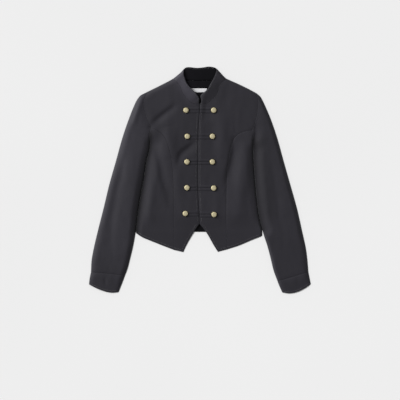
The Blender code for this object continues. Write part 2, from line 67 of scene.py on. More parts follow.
# %% Pattern curves
CURVES = {
    "centre_front": [(-1, 235), (-2, 208), (-5, 160), (-6, 60), (-5, -61), (-2, -112), (-2, -135)],
    "back_neck": [(-83, 316), (-38, 310), (0, 309), (40, 310), (81, 316)],
    "collar_back_top": [
        (-48.5, 348.5), (-40, 351), (-30, 351), (-11, 349), (10, 350.5), (26, 353), (40, 351.5), (50, 348.5),
    ],
    "back_hem": [(-200, -157), (-100, -160), (0, -160), (100, -160), (193, -153)],
    "neck_seam_left": [(-1, 235), (-24, 239), (-39, 252), (-52, 267), (-61, 289), (-83, 316)],
    "neck_seam_right": [(-1, 235), (23, 239), (40, 252), (54, 269), (60, 291), (81, 316)],
    "shoulder_left": [(-83, 316), (-94.5, 309.3), (-112.5, 300), (-142.5, 285), (-166.5, 273.3)],
    "shoulder_right": [(81, 316), (96, 309.2), (117, 299.9), (147, 285.5), (175.5, 270.3)],
    "armhole_left": [(-166.5, 273.3), (-173.5, 249), (-174, 221), (-164, 190), (-153, 165)],
    "armhole_right": [(175.5, 270.3), (179.5, 243), (177, 205), (169, 174), (162, 156)],
    "underarm_left": [(-153, 165), (-154, 154), (-157, 143)],
    "underarm_right": [(162, 156), (163, 141), (164, 125)],
    "crease_left": [(-157, 143), (-158, 100), (-167, 61), (-176, 5), (-186, -50), (-195, -106), (-200, -157)],
    "crease_right": [(164, 125), (164, 88), (167, 32), (172, -30), (177, -75), (184, -120), (193, -153)],
    "side_tail_left": [(-200, -157), (-199, -164)],
    "side_tail_right": [(193, -153), (193, -172)],
    "princess_left": [(-153, 165), (-131, 154), (-110, 134), (-97, 100), (-85, 26), (-82, -61), (-82, -216)],
    "princess_right": [(162, 156), (133, 150), (111, 137), (97, 106), (85, 38), (82, -30), (82, -215)],
    "hem_left": [(-199, -164), (-179, -177), (-160, -185), (-123, -200), (-82, -216)],
    "hem_right": [(193, -172), (156, -187), (119, -203), (82, -215)],
    "hem_point_left": [(-82, -216), (-52, -223)],
    "hem_point_right": [(82, -215), (55, -222)],
    "cutaway_left": [(-52, -223), (-44, -205), (-24, -168), (-12, -149), (-2, -135)],
    "cutaway_right": [(55, -222), (44, -205), (23, -168), (10, -149), (-2, -135)],
    "sleeve_outer_left": [
        (-166.5, 273.3), (-186.5, 262), (-197.5, 247), (-206, 229), (-221, 191), (-240, 136), (-261, 61),
        (-282, -13), (-300, -88), (-318, -159), (-331, -215), (-336.5, -245), (-339, -285),
    ],
    "sleeve_outer_right": [
        (175.5, 270.3), (187.5, 259.5), (194.5, 247), (203, 229), (219, 191), (238, 136), (259, 61),
        (280, -13), (301, -88), (317, -159), (329, -215), (335, -270), (336, -284),
    ],
    "sleeve_inner_left": [(-200, -157), (-202, -172), (-208, -205), (-217, -243), (-227, -280), (-233, -295)],
    "sleeve_inner_right": [(193, -153), (197, -168), (209, -205), (219, -243), (228, -280), (240, -313)],
    "cuff_seam_left": [(-339, -285), (-295, -288), (-233, -295)],
    "cuff_seam_right": [(336, -284), (294, -297), (240, -313)],
    "cuff_outer_left": [(-339, -285), (-343, -305), (-345, -323)],
    "cuff_outer_right": [(336, -284), (340, -304), (343.5, -322)],
    "cuff_inner_left": [(-233, -295), (-243, -322), (-253, -347)],
    "cuff_inner_right": [(240, -313), (246, -328), (255, -348)],
    "cuff_hem_left": [(-345, -323), (-326, -333), (-307, -341), (-278, -348), (-253, -347)],
    "cuff_hem_right": [(343.5, -322), (323, -336), (303, -345.5), (279, -350.5), (255, -348)],
    "collar_fold_left": [(-83, 316), (-76, 321.5), (-68.5, 327.8), (-61, 334), (-55, 340), (-48.5, 348.5)],
    "collar_fold_right": [(81, 316), (75, 321.6), (69, 327.8), (63.5, 334), (58, 340), (50, 348.5)],
    "collar_edge_left": [
        (-48.5, 348.5), (-50, 341), (-51, 332), (-47, 315), (-43, 304), (-31, 288), (-20, 277), (-7, 262), (-2, 252),
        (-3, 241), (-1, 235),
    ],
    "collar_edge_right": [
        (50, 348.5), (50.5, 341), (48.5, 332), (41, 315), (31, 297), (20, 279), (8, 270), (1, 261), (3, 250),
        (3, 241), (-1, 235),
    ],
}


def smooth_curve(points, step):
    """Even samples of a smooth curve through the points. Two points give a straight line."""
    knots = np.array(points, float)
    if len(knots) > 2:
        lengths = np.linalg.norm(np.diff(knots, axis=0), axis=1)
        at = np.concatenate([[0], np.cumsum(lengths)])
        slopes = np.gradient(knots, at, axis=0)
        fine = np.linspace(0, at[-1], 40 * len(knots))
        i = np.clip(np.searchsorted(at, fine, side="right") - 1, 0, len(lengths) - 1)
        span = lengths[i][:, None]
        t = (fine - at[i])[:, None] / span
        knots = (
            (2 * t**3 - 3 * t**2 + 1) * knots[i]
            + (t**3 - 2 * t**2 + t) * span * slopes[i]
            + (3 * t**2 - 2 * t**3) * knots[i + 1]
            + (t**3 - t**2) * span * slopes[i + 1]
        )
    along = np.concatenate([[0], np.cumsum(np.linalg.norm(np.diff(knots, axis=0), axis=1))])
    even = np.linspace(0, along[-1], max(2, round(along[-1] / step) + 1))
    return np.column_stack([np.interp(even, along, knots[:, k]) for k in range(2)])


def gap_to(points, path, reach):
    """Distance from each point to a path, the share of its length there, and the side: above 0 on its left hand."""
    gap, share, turned = np.full(len(points), 1e3), np.zeros(len(points)), np.zeros(len(points))
    near = ((points > path.min(0) - reach) & (points < path.max(0) + reach)).all(1)
    if near.any():
        start, run = path[:-1], np.diff(path, axis=0)
        lengths = np.maximum(np.linalg.norm(run, axis=1), 1e-9)
        before = np.concatenate([[0], np.cumsum(lengths)])
        offset = points[near][:, None, :] - start[None]
        t = np.clip((offset * run[None]).sum(2) / (lengths**2)[None], 0, 1)
        all_gaps = np.linalg.norm(offset - t[..., None] * run[None], axis=2)
        nearest = all_gaps.argmin(1)
        rows = np.arange(len(nearest))
        gap[near] = all_gaps[rows, nearest]
        share[near] = (before[nearest] + t[rows, nearest] * lengths[nearest]) / before[-1]
        turned[near] = run[nearest, 0] * offset[rows, nearest, 1] - run[nearest, 1] * offset[rows, nearest, 0]
    return gap, share, turned


def ease(x):
    """A smooth step from 0 to 1."""
    x = np.clip(x, 0, 1)
    return x * x * (3 - 2 * x)


def bell(gap, width):
    """A soft bump, 1 on the line and near 0 two widths away."""
    return np.exp(-((gap / width) ** 2))


print("pattern curves:", len(CURVES))

# %% [markdown]
# ## How the cloth lies
#
# The form of a garment laid flat is a height above the plan. A draper sees three things in it: how far it
# rolls down at a folded edge, where a seam pulls it in, and where it creases. Each is a short table, so that
# every crease can be moved, deepened or softened by hand.

# %% Heights and folds
WALL = 2.2
LAYER_GAP = 0.4
LOFT = 8.4
EDGE_HEIGHT = 3.0
POINT_HEIGHT = 2.6
DROOP_LENGTH = 52
HEM_REACH = 60
HEM_HEIGHT = 5.6
ROLL_POWER = 2.2
LIP = 3.0
LIP_MIDDLE = 1.5
FORM_STEP = 5.0

# Folded edges. Columns: curve, roll width on the body, on the sleeve at its start and end, whether the body's or
# the sleeve's side leaves the edge flat, fade-in share, tuck
FOLDED_EDGES = [
    ("shoulder_left", 16, 16, 16, "", 0.0, 4.2),
    ("shoulder_right", 12, 12, 12, "", 0.0, 4.2),
    ("sleeve_outer_left", 20, 16, 22, "", 0.0, 4.2),
    ("sleeve_outer_right", 12, 12, 15, "", 0.0, 4.2),
    ("crease_left", 44, 20, 22, "body", 0.12, 4.2),
    ("crease_right", 26, 40, 34, "sleeve", 0.12, 4.2),
    ("side_tail_left", 44, 20, 20, "body", 0.0, 4.2),
    ("side_tail_right", 26, 16, 16, "", 0.0, 4.2),
    ("sleeve_inner_left", 20, 22, 18, "", 0.0, 4.2),
    ("sleeve_inner_right", 20, 12, 10, "", 0.0, 4.2),
    ("cuff_outer_left", 20, 22, 18, "", 0.0, 4.2),
    ("cuff_outer_right", 20, 15, 16, "", 0.0, 4.2),
    ("cuff_inner_left", 20, 18, 16, "", 0.0, 4.2),
    ("cuff_inner_right", 20, 11, 12, "", 0.0, 4.2),
    ("collar_fold_left", 12, 12, 12, "", 0.0, 1.4),
    ("collar_fold_right", 9, 9, 9, "", 0.0, 1.4),
]

# Seams that pull the cloth in. Columns: curve, depth of the narrow dip, depth and width of the soft one
SEAMS = [
    ("armhole_left", 0.10, 0.9, 10),
    ("armhole_right", 0.10, 0.6, 9),
    ("underarm_left", 0.1, 0.5, 8),
    ("underarm_right", 0.1, 0.5, 8),
    ("princess_left", 0.05, 0.3, 7),
    ("princess_right", 0.30, 0.3, 6),
    ("cuff_seam_left", 0.4, 0.7, 7),
    ("cuff_seam_right", 0.4, 0.7, 7),
    ("neck_seam_left", 0.05, 0.4, 8),
    ("neck_seam_right", 0.05, 0.5, 8),
]

# Creases. Columns: path, height (negative for a trough), half width on the path's left hand and right hand
CREASES = [
    ([(-152, 171), (-124, 196), (-75, 233)], -3.0, 8, 13),
    ([(-100, 168), (-93, 119), (-93, 63)], 3.4, 24, 20),
    ([(-146, 125), (-131, 75), (-121, 38), (-115, 1), (-103, -36), (-96, -80)], -2.6, 17, 10),
    ([(-14, 118), (-40, 98), (-60, 81), (-68, 44)], -3.4, 15, 8),
    ([(-60, 60), (-66, 10), (-60, -70)], 0.9, 14, 14),
    ([(-150, 20), (-158, -60), (-166, -140)], 1.2, 14, 14),
    ([(65, 212), (68, 137), (68, 63)], 1.8, 16, 18),
    ([(24, 262), (20, 228), (16, 180)], -2.2, 30, 9),
    ([(-44, 330), (-40, 300), (-22, 276), (-6, 252)], 3.2, 6, 22),
    ([(46, 326), (34, 296), (18, 272), (8, 252)], 3.0, 22, 6),
    ([(105, 143), (105, 94), (99, 63), (90, 26), (80, -18)], -4.4, 24, 10),
    ([(133, 125), (136, 38), (133, 1), (127, -36), (121, -74), (117, -111), (111, -148)], 3.0, 24, 24),
    ([(54, 30), (50, -60), (56, -150)], 1.0, 18, 14),
    ([(176, 180), (173, 150), (170, 125), (169, 57)], -3.8, 14, 7),
    ([(-179, 255), (-188, 230), (-200, 196), (-210, 165)], 1.8, 9, 6),
    ([(-234, 94), (-248, 13), (-264, -61), (-276, -139), (-273, -216)], -2.0, 14, 16),
    ([(-184, 150), (-190, 106), (-203, 26), (-211, -36), (-221, -92), (-231, -185), (-239, -260)], 5.0, 34, 44),
    ([(200, 214), (216, 160), (244, 70), (270, -30), (294, -130), (310, -215)], 2.6, 12, 60),
    ([(222, 60), (238, -60), (262, -190)], -0.9, 16, 12),
    ([(-294, -300), (-294, -318), (-292, -334)], -1.3, 5, 5),
    ([(300, -300), (304, -320), (306, -336)], -0.8, 6, 6),
]

# Open ends, where the two layers lie close. Columns: curve, height there, length over which the loft comes back
OPEN_ENDS = [
    ("cuff_hem", 5.8, 46),
    ("centre_front", 8.0, 10),
]

FOLD_PATHS = [(smooth_curve(CURVES[name], FORM_STEP), *widths) for name, *widths in FOLDED_EDGES]
SEAM_PATHS = [(smooth_curve(CURVES[name], FORM_STEP), *dips) for name, *dips in SEAMS]
CREASE_PATHS = [(smooth_curve(path, FORM_STEP), *sizes) for path, *sizes in CREASES]
END_PATHS = [
    (smooth_curve(CURVES[name], FORM_STEP), height, length)
    for base, height, length in OPEN_ENDS
    for name in (base, f"{base}_left", f"{base}_right")
    if name in CURVES
]
BACK_HEM_PATH = smooth_curve(CURVES["back_hem"], FORM_STEP)


def fold_state(points, sleeve=False):
    """For each point: share of the loft left by the rolled edges, distance to a lip, and if cloth tucks there."""
    left, lip_gap, tucked = np.ones(len(points)), np.full(len(points), 1e3), np.zeros(len(points), bool)
    for path, on_body, start, end, flat_side, fade, tuck in FOLD_PATHS:
        gap, share, _ = gap_to(points, path, 50)
        width = start + (end - start) * ease(share * 3) if sleeve else on_body
        strength = ease(share / fade) if fade else 1.0
        rolled = np.clip(1 - gap / width, 0, 1)
        flat = flat_side == ("sleeve" if sleeve else "body")
        left = np.minimum(left, 1 - strength * (ease(rolled) if flat else rolled ** ROLL_POWER))
        lip_gap = np.minimum(lip_gap, (gap + (1 - strength) * LIP) * 4.2 / tuck)
        tucked |= gap < tuck - 0.3 * min(tuck, 3.0)
    return left, lip_gap, tucked


def quarter_round(gap, width):
    """Rises from 0 to 1 over a width as a quarter circle does."""
    return np.sqrt(1 - (1 - np.clip(gap / width, 0, 1)) ** 2)


def ripples(points):
    """Small uneven waves that pressed cloth always keeps, longer down the cloth than across it."""
    coarse = [noise.noise(Vector((x / 38, y / 95, 2.5))) for x, y in points]
    fine = [noise.noise(Vector((x / 15, y / 34, 7.5))) for x, y in points]
    return 0.8 * np.array(coarse) + 0.28 * np.array(fine)


def past_back_hem(points):
    """How far each point lies below the hem of the back."""
    return np.interp(points[:, 0], BACK_HEM_PATH[:, 0], BACK_HEM_PATH[:, 1]) - points[:, 1]


def cloth_top(points, sleeve=False):
    """Height of the upper layer's outside, on the body or on a sleeve."""
    left, lip_gap, _ = fold_state(points, sleeve)
    height = LOFT + ripples(points)
    for path, rise, left_hand, right_hand in CREASE_PATHS:
        gap, share, turned = gap_to(points, path, 3 * max(left_hand, right_hand))
        width = np.where(turned > 0, left_hand, right_hand)
        height += rise * np.sin(math.pi * np.clip(share, 0.02, 0.98)) ** 0.6 * bell(gap, width)
    for path, end_height, length in END_PATHS:
        gap, _, _ = gap_to(points, path, length)
        height += np.minimum(end_height - height, 0) * (1 - ease(gap / length))
    height = EDGE_HEIGHT + (height - EDGE_HEIGHT) * left
    for path, narrow, soft, width in SEAM_PATHS:
        gap, _, _ = gap_to(points, path, 3 * width)
        height -= (narrow * bell(gap, 1.7) + soft * bell(gap, width)) * left
    past = past_back_hem(points)
    near_hem = ease((past + HEM_REACH) / HEM_REACH) * (np.abs(points[:, 0]) < 200)
    height += np.minimum(HEM_HEIGHT - height, 0) * near_hem
    droop = np.clip(past / DROOP_LENGTH, 0, 1) * (np.abs(points[:, 0]) < 200)
    height += (POINT_HEIGHT - height) * droop
    return LIP_MIDDLE + (height - LIP_MIDDLE) * quarter_round(lip_gap, LIP)


def seam_near(points):
    """1 beside a seam and 0 away from one. Seamed edges are pressed flat and hardly rounded."""
    near = np.zeros(len(points))
    for path, *_ in SEAM_PATHS:
        near = np.maximum(near, gap_to(points, path, 3)[0] < 2.0)
    return near


# Patches of painted shade and painted light in the cloth's colour: darker deep in the creases and on slopes that turn
# from the lamp, paler where the cloth faces the lamp on the left. Columns: the path, the change of tone, and the
# widths on the path's left hand and right hand.
PAINTED_LIGHT_AND_SHADE = [
    (CURVES["crease_left"], -0.55, 10, 5),
    (CURVES["crease_right"], -0.45, 12, 5),
    ([(188, 110), (193, 20), (208, -100)], -0.28, 32, 24),
    (CURVES["sleeve_inner_left"], -0.25, 8, 8),
    (CURVES["centre_front"], -0.12, 60, 60),
    ([(-66, 330), (-50, 300), (-26, 268)], 0.95, 24, 24),
    ([(52, 328), (40, 292), (16, 262)], -0.15, 24, 24),
    ([(-120, 285), (-110, 250)], 0.12, 50, 50),
    ([(-190, 235), (-215, 150), (-240, 60)], 0.15, 34, 34),
    ([(-292, -285), (-300, -340)], -0.15, 50, 50),
]
PAINTED_LIGHT_AND_SHADE_PATHS = [(smooth_curve(path, FORM_STEP), *sizes) for path, *sizes in PAINTED_LIGHT_AND_SHADE]


def painted_light_and_shade_near(points):
    """How far the painted shade and painted light change the cloth's colour: below 0 is darker, above 0 is paler."""
    shade = np.zeros(len(points))
    for path, change, left_hand, right_hand in PAINTED_LIGHT_AND_SHADE_PATHS:
        gap, _, turned = gap_to(points, path, 2.5 * max(left_hand, right_hand))
        shade += change * bell(gap, np.where(turned > 0, left_hand, right_hand))
    return shade


print("creases placed by hand:", len(CREASES))

# %% [markdown]
# ## A cloth shell
#
# Real cloth is a sheet of even thickness with soft, rounded cut edges. Each panel is filled with small
# triangles by a Delaunay triangulation of its plan: rings of points follow the outline, where seams and rolled
# edges need them, and an even lattice fills the rest. The top and the inside are two copies of that plan at
# two heights, joined by a rim.

# %% Panels from outlines
CLOTH_STEP = 3.4
OUTLINE_RINGS = (0.45, 1.2, 2.4, 4.1, 5.4, 6.6, 8.2)
ROUND_WIDTH = 1.3
ROUND_DEPTH = 0.75


def closed_outline(sides):
    """Join curve samples end to end, anticlockwise, with the inset of each step."""
    points, insets = [], []
    for samples, inset in sides:
        points.extend(samples[:-1])
        insets.extend([inset] * (len(samples) - 1))
    points, insets = np.array(points), np.array(insets, float)
    if (points[:, 0] * np.roll(points[:, 1], -1) - points[:, 1] * np.roll(points[:, 0], -1)).sum() < 0:
        points, insets = points[::-1], np.roll(insets[::-1], -1)
    return points, insets


def draw_in(points, insets):
    """Move each outline point inwards so that the steps beside it go in by their insets."""
    run = np.roll(points, -1, axis=0) - points
    normals = np.column_stack([-run[:, 1], run[:, 0]]) / np.linalg.norm(run, axis=1, keepdims=True)
    moved = points.copy()
    for i in range(len(points)):
        before, after = normals[i - 1], normals[i]
        cross = before[0] * after[1] - before[1] * after[0]
        if abs(cross) < 0.05:
            moved[i] += (before + after) / 2 * (insets[i - 1] + insets[i]) / 2
            continue
        solution = np.linalg.solve(np.array([before, after]), [insets[i - 1], insets[i]])
        limit = 2.5 * max(insets[i - 1], insets[i], 1e-6)
        moved[i] += solution * min(1, limit / max(np.linalg.norm(solution), 1e-9))
    return moved


def inside(points, outline):
    """Which points lie inside a closed outline."""
    hit = np.zeros(len(points), bool)
    for a, b in zip(outline, np.roll(outline, -1, axis=0)):
        crosses = (a[1] > points[:, 1]) != (b[1] > points[:, 1])
        rise = b[1] - a[1] if b[1] != a[1] else 1e-12
        hit ^= crosses & (points[:, 0] < (b[0] - a[0]) * (points[:, 1] - a[1]) / rise + a[0])
    return hit


def thinned(points, gap):
    """Drop points that are closer than a gap to one kept before them."""
    cells, kept = {}, []
    for x, y in points:
        column, row = int(x // gap), int(y // gap)
        around = [cells.get((column + i, row + j), ()) for i in (-1, 0, 1) for j in (-1, 0, 1)]
        if all((x - a) ** 2 + (y - b) ** 2 > gap * gap for near in around for a, b in near):
            cells.setdefault((column, row), []).append((x, y))
            kept.append((x, y))
    return np.array(kept).reshape(-1, 2)


def inner_points(outline, step, rings):
    """Points inside an outline: rings beside its edge, then an even lattice."""
    closed = np.vstack([outline, outline[:1]])
    chosen = [np.zeros((0, 2))]
    for ring in rings:
        shifted = draw_in(outline, np.full(len(outline), ring))
        gap = gap_to(shifted, closed, 1e3)[0]
        chosen.append(thinned(shifted[inside(shifted, outline) & (gap > 0.9 * ring)], 0.45 * step))
    low, high = outline.min(0), outline.max(0)
    lattice = np.array([
        (x + (row % 2) * step / 2, y)
        for row, y in enumerate(np.arange(low[1], high[1], step * math.sqrt(3) / 2))
        for x in np.arange(low[0], high[0], step)
    ])
    lattice = lattice[inside(lattice, outline)]
    clear = (rings[-1] if rings else 0) + 0.6 * step
    chosen.append(lattice[gap_to(lattice, closed, 1e3)[0] > clear])
    return np.vstack(chosen)


def shell(name, outline, top, bottom, step=CLOTH_STEP, rings=OUTLINE_RINGS, rounding=ROUND_DEPTH):
    """A closed cloth shell over an outline. top and bottom give heights; bottom is also given the top's depth."""
    plan = np.vstack([outline, inner_points(outline, step, rings)])
    loop = [list(range(len(outline)))]
    coords, _, faces, *_ = delaunay_2d_cdt([Vector(p) for p in plan], [], loop, 1, 1e-4)
    coords, faces = np.array([tuple(c) for c in coords]), np.array(faces)
    upper = top(coords)
    spans = np.array([coords[faces[:, k]] - coords[faces[:, 0]] for k in (1, 2)])
    rises = np.array([upper[faces[:, k]] - upper[faces[:, 0]] for k in (1, 2)])
    area = spans[0][:, 0] * spans[1][:, 1] - spans[0][:, 1] * spans[1][:, 0]
    slope_x = (rises[0] * spans[1][:, 1] - rises[1] * spans[0][:, 1]) / area
    slope_y = (rises[1] * spans[0][:, 0] - rises[0] * spans[1][:, 0]) / area
    steep = np.sqrt(1 + slope_x**2 + slope_y**2) * area
    weight, total = np.zeros(len(coords)), np.zeros(len(coords))
    for k in range(3):
        np.add.at(weight, faces[:, k], area)
        np.add.at(total, faces[:, k], steep)
    lower = bottom(coords, upper, WALL * np.minimum(total / weight, 2.5))
    gap = gap_to(coords, np.vstack([outline, outline[:1]]), 1e3)[0]
    soft = rounding * np.clip(1 - gap / ROUND_WIDTH, 0, 1) ** 2 * (1 - 0.9 * seam_near(coords))
    upper = np.maximum(upper - soft * np.clip((upper - lower) / WALL, 0, 1), lower + 0.1)
    count = len(coords)
    edges = np.vstack([faces[:, [0, 1]], faces[:, [1, 2]], faces[:, [2, 0]]])
    present = set(map(tuple, edges))
    rim = np.array([(a, b, b + count, a + count) for a, b in edges if (b, a) not in present])
    points = np.vstack([np.column_stack([coords, upper]), np.column_stack([coords, lower])]) * MM
    mesh = bpy.data.meshes.new(name)
    mesh.from_pydata(points.tolist(), [], faces.tolist() + (faces[:, ::-1] + count).tolist() + rim[:, ::-1].tolist())
    mesh.shade_smooth()
    # Painted shade and painted light: a colour attribute, darker in the creases and on slopes turned from the lamp,
    # paler where the cloth faces it.
    shade = painted_light_and_shade_near(coords)
    colours = np.column_stack([(-shade).clip(0), shade.clip(0), np.zeros(count), np.ones(count)])
    mesh.color_attributes.new("shade", "FLOAT_COLOR", "POINT").data.foreach_set("color", np.tile(colours.ravel(), 2))
    piece = bpy.data.objects.new(name, mesh)
    bpy.context.scene.collection.objects.link(piece)
    piece["plan_area"] = float(area.sum() / 2) * MM * MM
    piece["top_vertices"] = count
    return piece


def upper_bottom(coords, upper, depth):
    """Inside of the upper layer: a wall below its outside, clear of the layer under it, rolled under at a fold."""
    _, lip_gap, tucked = fold_state(coords)
    over = (past_back_hem(coords) < LAYER_GAP) | (np.abs(coords[:, 0]) > 200)
    lowest = np.where(over & ~tucked, WALL + LAYER_GAP, 0.1)
    rolled_under = (LIP_MIDDLE - 0.1) * (1 - quarter_round(lip_gap, LIP))
    return np.where(tucked, rolled_under, np.maximum(upper - depth, lowest))


def neck_bottom(coords, upper, depth):
    """Inside of the collar's fronts, clear of the facing and the label."""
    folded = upper_bottom(coords, upper, depth)
    left, _, _ = fold_state(coords)
    return np.where(left > 0.999, np.maximum(folded, 4.3), folded)


def edge(name, inset, back=False):
    """One side of an outline: samples of a named curve, and how far the cloth stays inside it."""
    points = smooth_curve(CURVES[name], CLOTH_STEP)
    return (points[::-1] if back else points), inset


# %% [markdown]
# ## Shader sums
#
# Weave and wear are sums of simple patterns. Writing them as Python expressions keeps them readable, so one
# small class wraps a shader socket and turns each operator into a Math node.

# %% A socket that can be added and multiplied
class Field:
    """A shader value that takes part in sums like a number."""

    def __init__(self, finish, socket):
        self.finish = finish
        self.socket = socket

    def sum(self, operation, first, second=0.0):
        return self.finish.node("Math", {"operation": operation}, {0: first, 1: second})

    def __add__(self, other):
        return self.sum("ADD", self, other)

    __radd__ = __add__

    def __mul__(self, other):
        return self.sum("MULTIPLY", self, other)

    __rmul__ = __mul__

    def __sub__(self, other):
        return self.sum("SUBTRACT", self, other)

    def __rsub__(self, other):
        return self.sum("SUBTRACT", other, self)

    def __pow__(self, other):
        return self.sum("POWER", self, other)

    def sine(self):
        return self.sum("SINE", self)

    def clamped(self):
        return self.sum("MINIMUM", self.sum("MAXIMUM", self, 0.0), 1.0)


class Finish:
    """One material, built node by node around a Principled shader."""

    def __init__(self, name, **constants):
        self.material = bpy.data.materials.new(name)
        self.material.use_nodes = True
        self.tree = self.material.node_tree
        self.shader = self.tree.nodes["Principled BSDF"]
        for socket, value in constants.items():
            self.shader.inputs[socket.replace("_", " ")].default_value = value

    def feed(self, socket, value):
        if isinstance(value, Field):
            self.tree.links.new(value.socket, socket)
        else:
            socket.default_value = value

    def node(self, kind, settings=None, sockets=None, output=0):
        """Add a node: its settings first, then the values or links of its sockets."""
        made = self.tree.nodes.new(f"ShaderNode{kind}")
        for key, value in (settings or {}).items():
            if key == "stops":
                for stop, (place, colour) in zip(made.color_ramp.elements, value):
                    stop.position, stop.color = place, colour
            else:
                setattr(made, key, value)
        for key, value in (sockets or {}).items():
            self.feed(made.inputs[key], value)
        return Field(self, made.outputs[output])

    def colours(self, factor, first, second):
        """A blend of two colours."""
        return self.node("Mix", {"data_type": "RGBA"}, {0: factor, 6: first, 7: second}, output=2)

    def place(self, turn=0.0):
        """Object coordinates, turned to a piece's grain."""
        coords = self.node("TexCoord", output=3)
        return self.node("Mapping", {}, {"Vector": coords, "Rotation": (0, 0, turn)})

    def axes(self, vector):
        return [self.node("SeparateXYZ", {}, {0: vector}, output=k) for k in range(3)]

    def bump(self, height, strength, distance):
        sockets = {"Height": height, "Strength": strength, "Distance": distance}
        self.feed(self.shader.inputs["Normal"], self.node("Bump", {}, sockets))

    def base(self, colour):
        self.feed(self.shader.inputs["Base Color"], colour)


# %% [markdown]
# ## The cloth finish
#
# The cloth is a charcoal twill with a faint violet cast and a slight sheen. Close up, twill shows fine
# diagonal ribs. From a step away it shows soft cloudy changes of tone, where the nap lies differently.
# The sleeves are cut on their own grain, so the pattern is turned on them. The left sleeve's copy is painted lighter
# and the right's darker, as painted light and shade from the lamp on the left; painted shade also darkens the
# creases, and painted light pales the cloth that faces the lamp.

# %% Cloth, facing, label, thread and brass
TWILL_PITCH = 0.0011
THREAD_PITCH = 0.00055
# How much paler than its light colour the painted light may make the cloth.
PAINTED_LIGHT_TONE = 1.6


def cloth_finish(name, turn, dark, light, sheen=0.14, gloss=0.22):
    """Charcoal twill. turn is the grain's angle, dark and light the ends of its tone."""
    finish = Finish(name, Metallic=0.0, Sheen_Weight=sheen, Sheen_Roughness=0.4, Specular_IOR_Level=gloss)
    place = finish.place(turn)
    x, y, _ = finish.axes(place)
    rib = ((x + y) * (math.tau / TWILL_PITCH)).sine() * 0.5 + 0.5
    thread = (y * (math.tau / THREAD_PITCH)).sine() * 0.5 + 0.5
    cloud = finish.node("TexNoise", {}, {"Vector": place, "Scale": 7.0, "Detail": 3.0, "Roughness": 0.55})
    slub = finish.node("TexNoise", {}, {"Vector": place, "Scale": 160.0, "Detail": 2.0, "Roughness": 0.6})
    tone = cloud * 0.75 + slub * 0.25 + rib * 0.14 - 0.07
    # Painted shade and painted light: the colour attribute's first channel mixes the cloth towards black, its second
    # towards a paler copy of its light colour.
    darker, lighter, _ = finish.axes(finish.node("VertexColor", {"layer_name": "shade"}))
    with_painted_shade = finish.colours(darker, finish.colours(tone.clamped(), dark, light), (0, 0, 0, 1))
    finish.base(finish.colours(lighter, with_painted_shade, toned(light[:3], PAINTED_LIGHT_TONE)))
    finish.feed(finish.shader.inputs["Roughness"], cloud * 0.16 + slub * 0.1 + 0.5)
    finish.bump(rib * 0.6 + thread * 0.25 + slub * 0.5, 0.35, 0.00022)
    return finish.material


CHARCOAL_DARK = (0.0137, 0.0129, 0.0170)
CHARCOAL_LIGHT = (0.0249, 0.0233, 0.0306)
# The lining is black, and its colours are painted darker still, as painted shade for the hollow inside the neck.
LINING_DARK = (0.0024, 0.0023, 0.0032)
LINING_LIGHT = (0.0052, 0.0049, 0.0068)
SLEEVE_GRAIN = math.radians(13)


def toned(colour, tone):
    """A colour made lighter or darker, with an opaque alpha."""
    return tuple(tone * c for c in colour) + (1.0,)


def charcoal(name, turn, tone):
    return cloth_finish(name, turn, toned(CHARCOAL_DARK, tone), toned(CHARCOAL_LIGHT, tone))


body_cloth = charcoal("charcoal twill body", 0.0, 1.0)
# Painted light and shade: the left sleeve's copy is painted 12% lighter and the right's 4% darker, for the lamp on
# the left.
sleeve_cloth_painted_lit_and_shaded = {
    "left": charcoal("charcoal twill left sleeve", SLEEVE_GRAIN, 1.12),
    "right": charcoal("charcoal twill right sleeve", -SLEEVE_GRAIN, 0.96),
}
black_lining_painted_darker = cloth_finish("dark lining", 0.0, toned(LINING_DARK, 1), toned(LINING_LIGHT, 1), sheen=0.0, gloss=0.08)


def label_finish():
    """Bare white satin tape with a fine crosswise weave."""
    finish = Finish("bare label tape", Sheen_Weight=0.1, Specular_IOR_Level=0.35)
    place = finish.place()
    x, y, _ = finish.axes(place)
    weave = ((x * (math.tau / 0.0007)).sine() + (y * (math.tau / 0.0009)).sine()) * 0.25 + 0.5
    cloud = finish.node("TexNoise", {}, {"Vector": place, "Scale": 60.0, "Detail": 2.0})
    finish.base(finish.colours((weave * 0.3 + cloud * 0.6).clamped(), (0.60, 0.60, 0.62, 1), (0.78, 0.78, 0.79, 1)))
    finish.feed(finish.shader.inputs["Roughness"], cloud * 0.2 + 0.45)
    finish.bump(weave, 0.3, 0.0002)
    return finish.material


def thread_finish():
    """Sewing thread: twisted strands, a little lighter and glossier than the cloth."""
    finish = Finish("sewing thread", Sheen_Weight=0.3, Specular_IOR_Level=0.5)
    place = finish.place(math.radians(35))
    x, y, _ = finish.axes(place)
    strand = ((x + y) * (math.tau / 0.0006)).sine() * 0.5 + 0.5
    finish.base(finish.colours(strand, (0.034, 0.032, 0.037, 1), (0.075, 0.072, 0.080, 1)))
    finish.feed(finish.shader.inputs["Roughness"], strand * 0.15 + 0.4)
    finish.bump(strand, 0.3, 0.0001)
    return finish.material


def brass_finish():
    """Antique brass: dark brown on the rim, the beads and the shank, pale gold on the face, with random changes of
    paleness.
    """
    finish = Finish("antique brass", Metallic=0.85, Specular_IOR_Level=0.3)
    place = finish.place()
    worn = finish.node("TexNoise", {}, {"Vector": place, "Scale": 420.0, "Detail": 3.0, "Roughness": 0.6})
    spots = finish.node("TexNoise", {}, {"Vector": place, "Scale": 1500.0, "Detail": 2.0})
    high = finish.node("VertexColor", {"layer_name": "wear"})
    paleness = (high * 1.0 + worn * 0.3 - 0.15).clamped()
    finish.base(finish.colours(paleness, (0.020, 0.013, 0.007, 1), (0.66, 0.60, 0.40, 1)))
    finish.feed(finish.shader.inputs["Roughness"], 0.78 - paleness * 0.16)
    finish.bump(worn * 0.6 + spots * 0.4, 0.25, 0.00015)
    return finish.material


